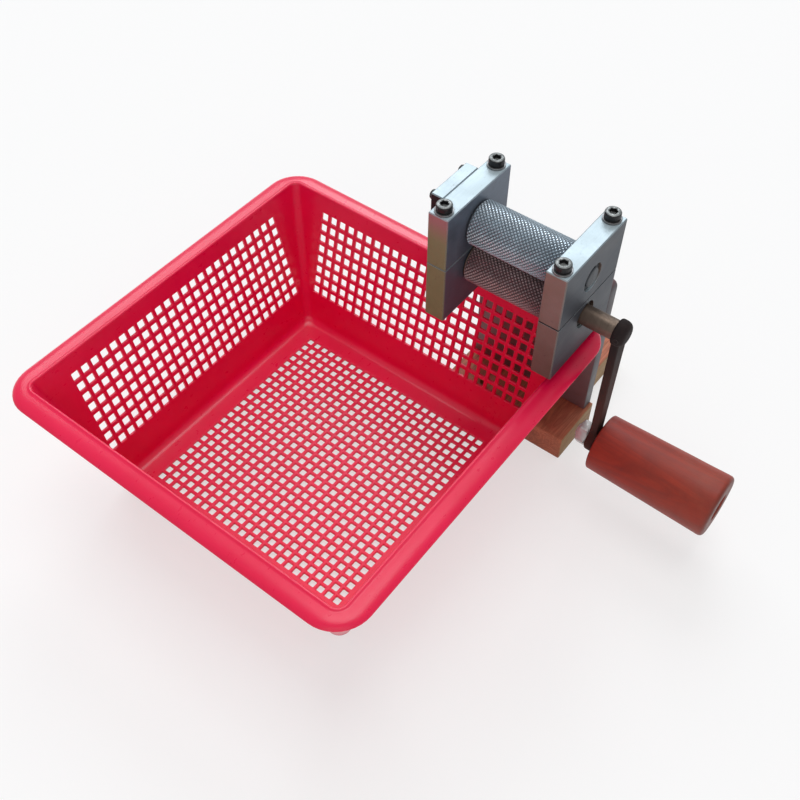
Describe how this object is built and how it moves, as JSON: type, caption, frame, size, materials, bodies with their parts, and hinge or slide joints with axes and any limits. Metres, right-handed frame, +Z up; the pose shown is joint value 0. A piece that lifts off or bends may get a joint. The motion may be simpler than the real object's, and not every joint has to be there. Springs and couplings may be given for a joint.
{
  "type": "hand cranked pea sheller",
  "caption": "Hand-cranked pea sheller: geared knurled rollers in split bearing blocks on a wooden base, with a perforated red catch basket that slides out.",
  "frame": {"origin": "centre of the bench holes on the underside of the base board", "axes": "+Z up, +X from the rollers to the crank, +Y to the back; the basket is towards -Y"},
  "size_m": [0.3229, 0.2948, 0.1745],
  "materials": {
    "base_wood": "oiled, worn, sawn sides",
    "dark_steel": "thin brown primer, worn",
    "zinc_steel": "yellow zinc plated",
    "aluminium": "milled",
    "bronze": "turned, oily",
    "black_steel": "black oxide",
    "roller_steel": "diamond knurled",
    "gear_steel": "machined",
    "forged_steel": "forged, scaled and oiled",
    "grip_wood": "red-brown stained and waxed",
    "red_plastic": "moulded, satin"
  },
  "bodies": {
    "frame": {"base_board": "base_wood", "back_plate": "dark_steel", "foot_angle": "zinc_steel", "angle_bolts": "zinc_steel", "block_bolts": "zinc_steel", "wood_screws": "zinc_steel", "lower_block_left": "aluminium", "lower_block_right": "aluminium", "upper_block_left": "aluminium", "upper_block_right": "aluminium", "lower_bush_left": "bronze", "lower_bush_right": "bronze", "upper_bush_left": "bronze", "upper_bush_right": "bronze", "clamp_screws": "black_steel", "clamp_washers": "black_steel", "gear_cover": "aluminium", "cover_screws": "black_steel"},
    "crank": {"lower_roller": "roller_steel", "lower_gear": "gear_steel", "lower_gear_key": "gear_steel", "crank_arm": "forged_steel", "crank_cross_pin": "gear_steel", "grip_pin": "gear_steel", "grip_washer": "black_steel", "grip_nut": "gear_steel"},
    "upper_roller_body": {"upper_roller": "roller_steel", "upper_gear": "gear_steel", "upper_gear_key": "gear_steel"},
    "grip_body": {"grip": "grip_wood"},
    "basket_body": {"basket": "red_plastic"}
  },
  "joints": [
    {"name": "crank_spin", "type": "hinge", "parent": "frame", "child": "crank", "pos_m": [0, -0.045, 0.124], "axis": [1, 0, 0], "continuous": true},
    {"name": "upper_roller_spin", "type": "hinge", "parent": "frame", "child": "upper_roller_body", "pos_m": [0, -0.045, 0.15], "axis": [1, 0, 0], "continuous": true},
    {"name": "grip_spin", "type": "hinge", "parent": "crank", "child": "grip_body", "pos_m": [0.1, -0.045, 0.0366], "axis": [1, 0, 0], "continuous": true},
    {"name": "basket_slide", "type": "slide", "parent": "frame", "child": "basket_body", "axis": [0, -1, 0], "range_m": [0, 0.25]}
  ],
  "couplings": [
    {"joint": "upper_roller_spin", "follows": "crank_spin", "ratio": -1}
  ]
}
